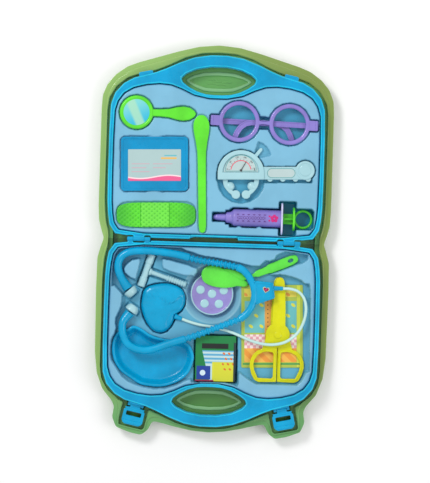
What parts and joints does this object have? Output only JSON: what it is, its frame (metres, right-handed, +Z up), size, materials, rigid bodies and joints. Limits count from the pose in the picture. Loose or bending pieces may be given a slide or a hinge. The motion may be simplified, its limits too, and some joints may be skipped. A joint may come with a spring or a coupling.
{
  "type": "toy doctor set",
  "caption": "Open carrying case in a tinted display tray, with toy medical instruments in formed pockets: stethoscope, syringe, gauge, glasses, mirror, scissors, dishes and cards.",
  "frame": {"origin": "the point of the tray's rest surface under the middle of the case's hinge line", "axes": "+Z up out of the open case, +X along the hinge towards the syringe's ring, +Y from the hinge towards the lid's handle"},
  "size_m": [0.285, 0.48, 0.0314],
  "materials": {
    "tray_green": "thin tinted glossy sheet",
    "case_blue": "glossy",
    "insert_blue": "vacuum formed satin sheet",
    "toy_blue": "glossy",
    "lime": "glossy",
    "purple": "glossy",
    "soft_white": "glossy",
    "tube_white": "soft satin tube",
    "yellow": "glossy",
    "bandage_green": "dotted satin",
    "paper": "printed",
    "card": "printed",
    "carton_print": "printed",
    "mirror": "mirror film",
    "rubber": "soft",
    "ink": "dark print",
    "pin": "glossy"
  },
  "bodies": {
    "tray": {"display_tray": "tray_green"},
    "case": {"case_base": "case_blue", "tray_insert_base": "insert_blue", "hinge_pin_left": "pin", "hinge_pin_right": "pin"},
    "lid": {"case_lid": "case_blue", "tray_insert_lid": "insert_blue"},
    "latch_left": {"latch_left": "toy_blue"},
    "latch_right": {"latch_right": "toy_blue"},
    "mirror": {"mirror_frame": "lime", "mirror_glass": "mirror"},
    "name_card": {"name_card_plate": "toy_blue", "name_card_label": "paper"},
    "bandage": {"bandage_strip": "bandage_green"},
    "depressor": {"tongue_depressor": "lime"},
    "glasses": {"glasses_front": "purple"},
    "temple_left": {"glasses_temple_left": "purple"},
    "temple_right": {"glasses_temple_right": "purple"},
    "gauge": {"gauge_body": "soft_white", "gauge_dial": "paper", "gauge_handle_label": "paper"},
    "gauge_needle": {"gauge_needle": "ink"},
    "gauge_lever": {"gauge_lever": "soft_white"},
    "gauge_jaw_left": {"gauge_jaw_left": "soft_white"},
    "gauge_jaw_right": {"gauge_jaw_right": "soft_white"},
    "syringe": {"syringe_barrel": "purple"},
    "plunger": {"syringe_plunger": "lime", "plunger_seal": "rubber"},
    "stethoscope": {"stethoscope_yoke": "toy_blue", "ear_tube_upper": "toy_blue", "ear_tube_lower": "toy_blue", "ear_tip_upper": "soft_white", "ear_tip_lower": "soft_white", "stethoscope_tube": "tube_white", "chest_piece": "toy_blue", "chest_diaphragm": "soft_white"},
    "hammer": {"hammer_head": "soft_white", "hammer_handle": "soft_white"},
    "pill_dish": {"pill_dish_base": "soft_white", "pill_dish_cover": "purple"},
    "spoon": {"spoon": "lime"},
    "scissors_a": {"scissors_half_a": "yellow", "scissors_rivet": "yellow"},
    "scissors_b": {"scissors_half_b": "yellow"},
    "picture_card": {"picture_card": "card"},
    "carton": {"medicine_carton": "carton_print"},
    "kidney_dish": {"kidney_dish": "toy_blue"}
  },
  "joints": [
    {"name": "case_lift", "type": "slide", "parent": "tray", "child": "case", "axis": [0, 0, 1], "range_m": [0, 0.15]},
    {"name": "lid_fold", "type": "hinge", "parent": "case", "child": "lid", "pos_m": [0, 0, 0.02865], "axis": [-1, 0, 0], "range_deg": [-180, 0]},
    {"name": "latch_left_fold", "type": "hinge", "parent": "case", "child": "latch_left", "pos_m": [-0.08908, -0.20324, 0.0205], "axis": [0.9781, -0.2079, 0], "range_deg": [-90, 0]},
    {"name": "latch_right_fold", "type": "hinge", "parent": "case", "child": "latch_right", "pos_m": [0.08908, -0.20324, 0.0205], "axis": [0.9781, 0.2079, 0], "range_deg": [-90, 0]},
    {"name": "mirror_lift", "type": "slide", "parent": "lid", "child": "mirror", "axis": [0, 0, 1], "range_m": [0, 0.08]},
    {"name": "name_card_lift", "type": "slide", "parent": "lid", "child": "name_card", "axis": [0, 0, 1], "range_m": [0, 0.08]},
    {"name": "bandage_lift", "type": "slide", "parent": "lid", "child": "bandage", "axis": [0, 0, 1], "range_m": [0, 0.08]},
    {"name": "depressor_lift", "type": "slide", "parent": "lid", "child": "depressor", "axis": [0, 0, 1], "range_m": [0, 0.08]},
    {"name": "glasses_lift", "type": "slide", "parent": "lid", "child": "glasses", "axis": [0, 0, 1], "range_m": [0, 0.175]},
    {"name": "temple_left_fold", "type": "hinge", "parent": "glasses", "child": "temple_left", "pos_m": [-0.00328, 0.14769, 0.018], "axis": [0.0279, 0.9996, 0], "range_deg": [0, 90]},
    {"name": "temple_right_fold", "type": "hinge", "parent": "glasses", "child": "temple_right", "pos_m": [0.11768, 0.14431, 0.0216], "axis": [-0.0279, -0.9996, 0], "range_deg": [0, 18]},
    {"name": "gauge_lift", "type": "slide", "parent": "lid", "child": "gauge", "axis": [0, 0, 1], "range_m": [0, 0.08]},
    {"name": "gauge_lever_turn", "type": "hinge", "parent": "gauge", "child": "gauge_lever", "pos_m": [0.0454, 0.10254, 0.0212], "axis": [0, 0, -1], "range_deg": [0, 14]},
    {"name": "gauge_needle_turn", "type": "hinge", "parent": "gauge", "child": "gauge_needle", "pos_m": [0.03038, 0.0873, 0.0269], "axis": [0, 0, -1], "range_deg": [0, 49]},
    {"name": "gauge_jaw_left_open", "type": "hinge", "parent": "gauge", "child": "gauge_jaw_left", "pos_m": [0.01138, 0.08075, 0.0214], "axis": [0, 0, -1], "range_deg": [0, 5.6]},
    {"name": "gauge_jaw_right_open", "type": "hinge", "parent": "gauge", "child": "gauge_jaw_right", "pos_m": [0.04976, 0.08195, 0.0214], "axis": [0, 0, 1], "range_deg": [0, 5.6]},
    {"name": "syringe_lift", "type": "slide", "parent": "lid", "child": "syringe", "axis": [0, 0, 1], "range_m": [0, 0.08]},
    {"name": "plunger_slide", "type": "slide", "parent": "syringe", "child": "plunger", "axis": [1, 0, 0], "range_m": [-0.0115, 0.001]},
    {"name": "stethoscope_lift", "type": "slide", "parent": "case", "child": "stethoscope", "axis": [0, 0, 1], "range_m": [0, 0.12]},
    {"name": "hammer_lift", "type": "slide", "parent": "case", "child": "hammer", "axis": [0, 0, 1], "range_m": [0, 0.084]},
    {"name": "pill_dish_lift", "type": "slide", "parent": "case", "child": "pill_dish", "axis": [0, 0, 1], "range_m": [0, 0.048]},
    {"name": "spoon_lift", "type": "slide", "parent": "case", "child": "spoon", "axis": [0, 0, 1], "range_m": [0, 0.072]},
    {"name": "scissors_lift", "type": "slide", "parent": "case", "child": "scissors_a", "axis": [0, 0, 1], "range_m": [0, 0.096]},
    {"name": "scissors_open", "type": "hinge", "parent": "scissors_a", "child": "scissors_b", "pos_m": [0.0818, -0.1124, 0.017], "axis": [0, 0, -1], "range_deg": [0, 20]},
    {"name": "picture_card_lift", "type": "slide", "parent": "case", "child": "picture_card", "axis": [0, 0, 1], "range_m": [0, 0.036]},
    {"name": "carton_lift", "type": "slide", "parent": "case", "child": "carton", "axis": [0, 0, 1], "range_m": [0, 0.06]},
    {"name": "kidney_dish_lift", "type": "slide", "parent": "case", "child": "kidney_dish", "axis": [0, 0, 1], "range_m": [0, 0.06]}
  ],
  "couplings": [
    {"joint": "temple_left_fold", "follows": "glasses_lift", "rad_per_m": 8.9759},
    {"joint": "temple_right_fold", "follows": "glasses_lift", "rad_per_m": 1.7951},
    {"joint": "gauge_needle_turn", "follows": "gauge_lever_turn", "ratio": 3.5},
    {"joint": "gauge_jaw_left_open", "follows": "gauge_lever_turn", "ratio": 0.4},
    {"joint": "gauge_jaw_right_open", "follows": "gauge_lever_turn", "ratio": 0.4},
    {"joint": "hammer_lift", "follows": "stethoscope_lift", "ratio": 0.7},
    {"joint": "pill_dish_lift", "follows": "stethoscope_lift", "ratio": 0.4},
    {"joint": "spoon_lift", "follows": "stethoscope_lift", "ratio": 0.6},
    {"joint": "scissors_lift", "follows": "stethoscope_lift", "ratio": 0.8},
    {"joint": "picture_card_lift", "follows": "stethoscope_lift", "ratio": 0.3},
    {"joint": "carton_lift", "follows": "stethoscope_lift", "ratio": 0.5},
    {"joint": "kidney_dish_lift", "follows": "stethoscope_lift", "ratio": 0.5}
  ]
}
